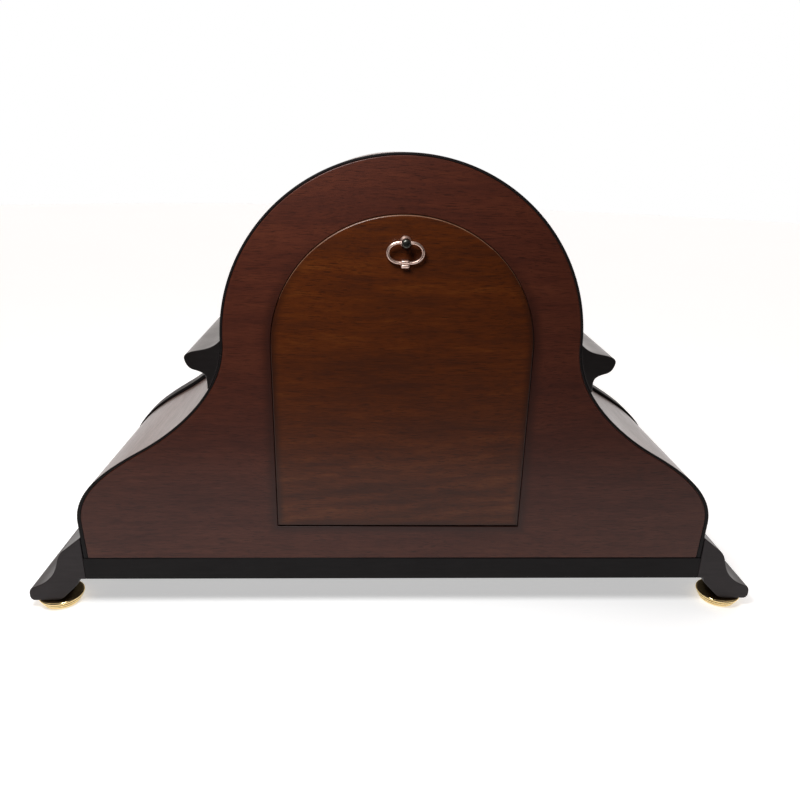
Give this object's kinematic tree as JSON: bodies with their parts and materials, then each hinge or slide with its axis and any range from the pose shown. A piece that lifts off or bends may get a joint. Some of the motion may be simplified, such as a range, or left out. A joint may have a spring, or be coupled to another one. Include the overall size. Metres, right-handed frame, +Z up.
{
  "type": "mantel clock",
  "caption": "Key-wound tambour mantel clock: round-topped wooden case with sweeping shoulders on flared runners, tilting back door with ring pull, hinged bezel, dial and chime movement.",
  "frame": {"origin": "centre of the clock's box, on the surface that the foot buttons stand on", "axes": "+X to the right of a person facing the dial, -Y out of the dial towards them, +Y out of the back door, +Z up"},
  "size_m": [0.5348, 0.1744, 0.322],
  "materials": {
    "cherry_veneer": "satin lacquered cherry veneer",
    "door_veneer": "satin lacquered plywood with rotary-cut veneer",
    "shell_veneer": "gloss lacquered dark veneer",
    "black_lacquer": "black lacquered hardwood, semi-gloss",
    "polished_brass": "polished and lacquered",
    "antique_brass": "antiqued",
    "movement_brass": "brushed",
    "steel": "brushed",
    "dial_enamel": "cream enamel with printed numerals",
    "clear_glass": "polished clear",
    "black_paint": "satin",
    "cast_iron": "grey hammer paint"
  },
  "bodies": {
    "case": {"arch_shell": "shell_veneer", "shoulder_shell_right": "shell_veneer", "shoulder_shell_left": "shell_veneer", "ear_moulding_right": "black_lacquer", "ear_moulding_left": "black_lacquer", "back_board": "cherry_veneer", "front_panel": "cherry_veneer", "base_plinth": "black_lacquer", "side_runner_right": "black_lacquer", "side_runner_left": "black_lacquer", "foot_button_rear_right": "polished_brass", "foot_button_rear_left": "polished_brass", "foot_button_front_right": "polished_brass", "foot_button_front_left": "polished_brass", "door_pivot_pin_right": "polished_brass", "door_pivot_pin_left": "polished_brass", "door_catch": "steel", "dial_plate": "dial_enamel", "bezel_hinge": "polished_brass", "bezel_hinge_pin": "polished_brass", "movement_front_plate": "movement_brass", "movement_back_plate": "movement_brass", "movement_mount_right": "steel", "movement_mount_left": "steel", "escapement_platform": "movement_brass", "balance_cock": "movement_brass", "hammer_bracket": "movement_brass", "chime_rod_1": "steel", "chime_rod_2": "steel", "chime_rod_3": "steel", "chime_rod_4": "steel", "chime_rod_block": "cast_iron"},
    "back_door": {"back_door": "door_veneer", "door_pull_post": "antique_brass"},
    "pull_ring": {"door_pull_ring": "antique_brass"},
    "bezel": {"bezel_ring": "polished_brass", "bezel_glass": "clear_glass"},
    "minute_arbor": {"centre_wheel": "movement_brass", "minute_hand": "black_paint", "hand_nut": "polished_brass"},
    "hour_pipe": {"hour_wheel": "movement_brass", "hour_hand": "black_paint"},
    "minute_wheel": {"minute_wheel": "movement_brass"},
    "intermediate_wheel": {"intermediate_wheel": "movement_brass"},
    "third_wheel": {"third_wheel": "movement_brass"},
    "escape_wheel": {"escape_wheel": "movement_brass"},
    "pallet_lever": {"pallet_lever": "steel"},
    "balance_wheel": {"balance_wheel": "polished_brass"},
    "time_barrel": {"time_barrel": "movement_brass"},
    "chime_barrel": {"chime_barrel": "movement_brass"},
    "strike_barrel": {"strike_barrel": "movement_brass"},
    "time_winding_arbor": {"time_winding_arbor": "steel"},
    "chime_winding_arbor": {"chime_winding_arbor": "steel"},
    "strike_winding_arbor": {"strike_winding_arbor": "steel"},
    "chime_selector_lever": {"chime_selector_lever": "steel"},
    "chime_pin_barrel": {"chime_pin_barrel": "movement_brass"},
    "chime_hammer_1": {"chime_hammer_1": "steel"},
    "chime_hammer_2": {"chime_hammer_2": "steel"},
    "chime_hammer_3": {"chime_hammer_3": "steel"},
    "chime_hammer_4": {"chime_hammer_4": "steel"}
  },
  "joints": [
    {"name": "door_hinge", "type": "hinge", "parent": "case", "child": "back_door", "pos_m": [0, 0.0712, 0.0742], "axis": [-1, 0, 0], "range_deg": [0, 100]},
    {"name": "pull_ring_swing", "type": "hinge", "parent": "back_door", "child": "pull_ring", "pos_m": [0, 0.0794, 0.27], "axis": [1, 0, 0], "range_deg": [0, 160]},
    {"name": "bezel_hinge", "type": "hinge", "parent": "case", "child": "bezel", "pos_m": [-0.0975, -0.0756, 0.204], "axis": [0, 0, -1], "range_deg": [0, 120]},
    {"name": "minute_hand_turn", "type": "hinge", "parent": "case", "child": "minute_arbor", "pos_m": [0, -0.0162, 0.204], "axis": [0, 1, 0], "continuous": true},
    {"name": "hour_hand_turn", "type": "hinge", "parent": "case", "child": "hour_pipe", "pos_m": [0, -0.0162, 0.204], "axis": [0, 1, 0], "continuous": true},
    {"name": "minute_wheel_turn", "type": "hinge", "parent": "case", "child": "minute_wheel", "pos_m": [0.01061, -0.0162, 0.21461], "axis": [0, 1, 0], "continuous": true},
    {"name": "intermediate_wheel_turn", "type": "hinge", "parent": "case", "child": "intermediate_wheel", "pos_m": [0.01017, -0.0162, 0.18494], "axis": [0, 1, 0], "continuous": true},
    {"name": "third_wheel_turn", "type": "hinge", "parent": "case", "child": "third_wheel", "pos_m": [-0.01527, -0.0162, 0.21927], "axis": [0, 1, 0], "continuous": true},
    {"name": "escape_wheel_turn", "type": "hinge", "parent": "case", "child": "escape_wheel", "pos_m": [-0.0024, -0.0162, 0.23007], "axis": [0, 1, 0], "continuous": true},
    {"name": "time_barrel_turn", "type": "hinge", "parent": "case", "child": "time_barrel", "pos_m": [0, -0.0162, 0.158], "axis": [0, 1, 0], "continuous": true},
    {"name": "pallet_lever_rock", "type": "hinge", "parent": "case", "child": "pallet_lever", "pos_m": [0.0038, -0.0162, 0.23007], "axis": [0, 1, 0], "range_deg": [-5, 5]},
    {"name": "balance_swing", "type": "hinge", "parent": "case", "child": "balance_wheel", "pos_m": [0.0096, -0.0162, 0.23007], "axis": [0, 1, 0], "range_deg": [-135, 135], "stiffness_Nm_per_rad": 0.0005},
    {"name": "time_winding_turn", "type": "hinge", "parent": "case", "child": "time_winding_arbor", "pos_m": [0, -0.0162, 0.158], "axis": [0, 1, 0], "continuous": true},
    {"name": "chime_winding_turn", "type": "hinge", "parent": "case", "child": "chime_winding_arbor", "pos_m": [-0.044, -0.0162, 0.19], "axis": [0, 1, 0], "continuous": true},
    {"name": "strike_winding_turn", "type": "hinge", "parent": "case", "child": "strike_winding_arbor", "pos_m": [0.044, -0.0162, 0.19], "axis": [0, 1, 0], "continuous": true},
    {"name": "strike_barrel_turn", "type": "hinge", "parent": "case", "child": "strike_barrel", "pos_m": [0.044, -0.0162, 0.19], "axis": [0, 1, 0], "continuous": true},
    {"name": "chime_barrel_turn", "type": "hinge", "parent": "case", "child": "chime_barrel", "pos_m": [-0.044, -0.0162, 0.19], "axis": [0, 1, 0], "continuous": true},
    {"name": "chime_pin_barrel_turn", "type": "hinge", "parent": "case", "child": "chime_pin_barrel", "pos_m": [-0.05426, -0.0162, 0.16181], "axis": [0, 1, 0], "continuous": true},
    {"name": "chime_selector_swing", "type": "hinge", "parent": "case", "child": "chime_selector_lever", "pos_m": [0.05, -0.0162, 0.204], "axis": [0, 1, 0], "range_deg": [-14, 14]},
    {"name": "chime_hammer_1_lift", "type": "hinge", "parent": "case", "child": "chime_hammer_1", "pos_m": [-0.03, -0.0162, 0.132], "axis": [0, -1, 0], "range_deg": [0, 12]},
    {"name": "chime_hammer_2_lift", "type": "hinge", "parent": "case", "child": "chime_hammer_2", "pos_m": [-0.03, -0.0162, 0.132], "axis": [0, -1, 0], "range_deg": [0, 12]},
    {"name": "chime_hammer_3_lift", "type": "hinge", "parent": "case", "child": "chime_hammer_3", "pos_m": [-0.03, -0.0162, 0.132], "axis": [0, -1, 0], "range_deg": [0, 12]},
    {"name": "chime_hammer_4_lift", "type": "hinge", "parent": "case", "child": "chime_hammer_4", "pos_m": [-0.03, -0.0162, 0.132], "axis": [0, -1, 0], "range_deg": [0, 12]}
  ],
  "couplings": [
    {"joint": "hour_hand_turn", "follows": "minute_hand_turn", "ratio": 0.083333},
    {"joint": "minute_wheel_turn", "follows": "minute_hand_turn", "ratio": -0.33333},
    {"joint": "intermediate_wheel_turn", "follows": "minute_hand_turn", "ratio": -0.2},
    {"joint": "time_barrel_turn", "follows": "minute_hand_turn", "ratio": 0.04},
    {"joint": "third_wheel_turn", "follows": "minute_hand_turn", "ratio": -5},
    {"joint": "escape_wheel_turn", "follows": "minute_hand_turn", "ratio": 25},
    {"joint": "chime_pin_barrel_turn", "follows": "chime_barrel_turn", "ratio": -4}
  ]
}
